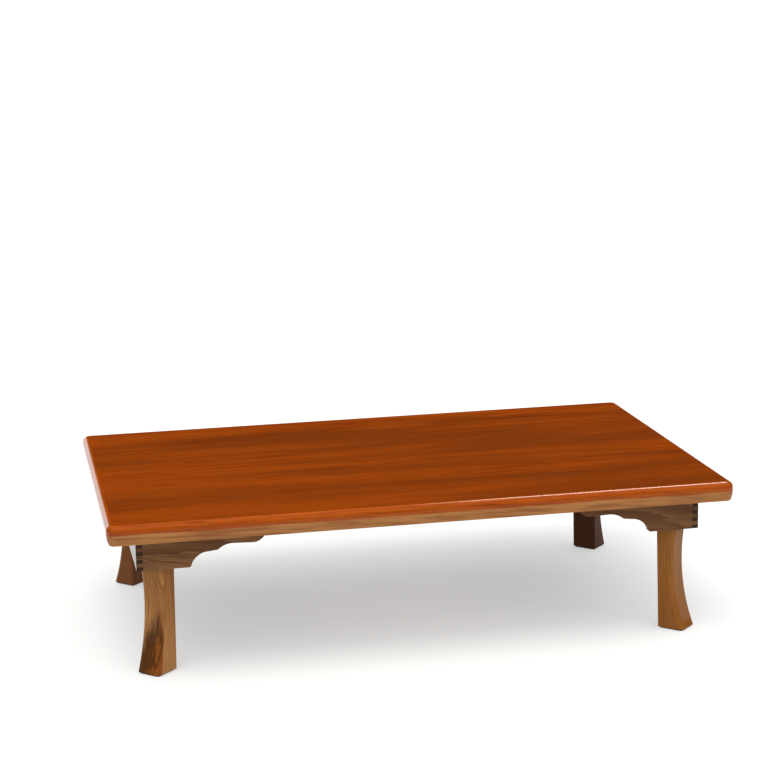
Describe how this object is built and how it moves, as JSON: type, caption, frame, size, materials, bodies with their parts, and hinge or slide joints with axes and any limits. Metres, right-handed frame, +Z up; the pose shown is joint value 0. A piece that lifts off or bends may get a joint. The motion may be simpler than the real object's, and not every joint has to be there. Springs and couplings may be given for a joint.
{
  "type": "low folding-leg table",
  "caption": "Low rectangular table for sitting at on the floor: lacquered wood top with a rounded edge, carved brackets at the corners and diagonal legs that fold flat under it.",
  "frame": {"origin": "on the floor under the middle of the top, with the legs open", "axes": "+X along the length of the top, -Y towards the front in the picture, +Z up"},
  "size_m": [1.2, 0.75, 0.31],
  "materials": {
    "top_veneer": "gloss lacquer over figured veneer, grain along the length",
    "edge_wood": "gloss lacquer over solid wood",
    "core_board": "raw board, hidden",
    "backing": "satin",
    "apron_wood": "gloss lacquer over solid wood",
    "leg_wood": "gloss lacquer over solid wood",
    "block_wood": "planed, unfinished",
    "plated_steel": "zinc plated",
    "pin_steel": "plain steel",
    "spring_steel": "blued spring steel",
    "screw_steel": "zinc plated",
    "felt": "felt"
  },
  "bodies": {
    "table_top": {"top_core": "core_board", "top_veneer": "top_veneer", "backing_veneer": "backing", "edge_strip_front": "edge_wood", "edge_strip_back": "edge_wood", "edge_strip_left": "edge_wood", "edge_strip_right": "edge_wood", "end_apron_left": "apron_wood", "end_apron_right": "apron_wood", "bracket_front_left": "apron_wood", "bracket_front_right": "apron_wood", "bracket_back_left": "apron_wood", "bracket_back_right": "apron_wood", "glue_blocks_left": "block_wood", "glue_blocks_right": "block_wood", "corner_block_front_left": "block_wood", "corner_block_front_right": "block_wood", "corner_block_back_left": "block_wood", "corner_block_back_right": "block_wood", "hinge_base_front_left": "plated_steel", "hinge_base_front_right": "plated_steel", "hinge_base_back_left": "plated_steel", "hinge_base_back_right": "plated_steel", "pivot_pin_front_left": "pin_steel", "pivot_pin_front_right": "pin_steel", "pivot_pin_back_left": "pin_steel", "pivot_pin_back_right": "pin_steel", "leaf_spring_front_left": "spring_steel", "leaf_spring_front_right": "spring_steel", "leaf_spring_back_left": "spring_steel", "leaf_spring_back_right": "spring_steel", "plate_screws": "screw_steel"},
    "folding_leg_front_left": {"leg_front_left": "leg_wood", "leg_shoe_front_left": "plated_steel", "shoe_screws_front_left": "screw_steel", "foot_pad_front_left": "felt"},
    "folding_leg_front_right": {"leg_front_right": "leg_wood", "leg_shoe_front_right": "plated_steel", "shoe_screws_front_right": "screw_steel", "foot_pad_front_right": "felt"},
    "folding_leg_back_left": {"leg_back_left": "leg_wood", "leg_shoe_back_left": "plated_steel", "shoe_screws_back_left": "screw_steel", "foot_pad_back_left": "felt"},
    "folding_leg_back_right": {"leg_back_right": "leg_wood", "leg_shoe_back_right": "plated_steel", "shoe_screws_back_right": "screw_steel", "foot_pad_back_right": "felt"}
  },
  "joints": [
    {"name": "fold_front_left", "type": "hinge", "parent": "table_top", "child": "folding_leg_front_left", "pos_m": [-0.49659, -0.27159, 0.257], "axis": [0.7071, -0.7071, 0], "range_deg": [0, 90], "deforming": ["leaf_spring_front_left"]},
    {"name": "fold_front_right", "type": "hinge", "parent": "table_top", "child": "folding_leg_front_right", "pos_m": [0.49659, -0.27159, 0.257], "axis": [0.7071, 0.7071, 0], "range_deg": [0, 90], "deforming": ["leaf_spring_front_right"]},
    {"name": "fold_back_left", "type": "hinge", "parent": "table_top", "child": "folding_leg_back_left", "pos_m": [-0.49659, 0.27159, 0.257], "axis": [-0.7071, -0.7071, 0], "range_deg": [0, 90], "deforming": ["leaf_spring_back_left"]},
    {"name": "fold_back_right", "type": "hinge", "parent": "table_top", "child": "folding_leg_back_right", "pos_m": [0.49659, 0.27159, 0.257], "axis": [-0.7071, 0.7071, 0], "range_deg": [0, 90], "deforming": ["leaf_spring_back_right"]}
  ]
}
